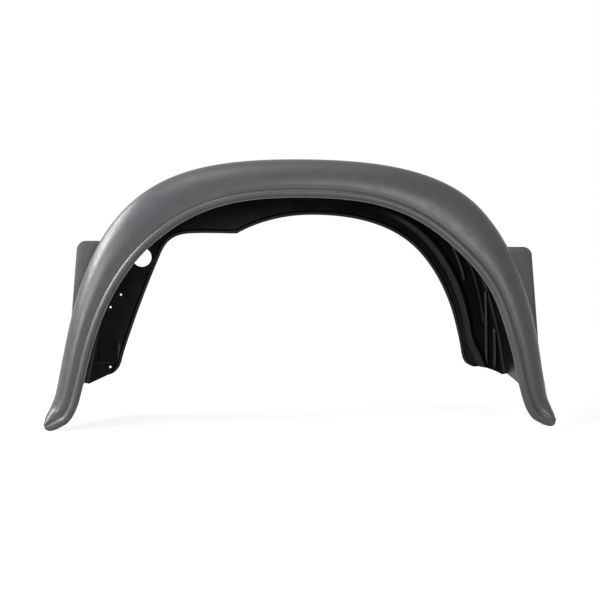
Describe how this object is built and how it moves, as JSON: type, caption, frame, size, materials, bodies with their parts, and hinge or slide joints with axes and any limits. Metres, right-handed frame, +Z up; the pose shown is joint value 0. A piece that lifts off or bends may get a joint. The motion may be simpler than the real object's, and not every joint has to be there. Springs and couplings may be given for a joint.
{
  "type": "truck mudguard",
  "caption": "Wheel-arch mudguard moulded in one piece: a wide flare with a rolled bead, a deep liner and a back wall with a smaller arch, ear plates and fixing holes.",
  "frame": {"origin": "middle of the bounding box in X and Y, at the level of the toes", "axes": "+X to the right seen from the road side, along the truck; +Y from the road side inwards; +Z up"},
  "size_m": [1.1806, 0.3, 0.6299],
  "materials": {
    "moulding": "satin"
  },
  "bodies": {
    "root": {"mudguard": "moulding"}
  },
  "joints": []
}
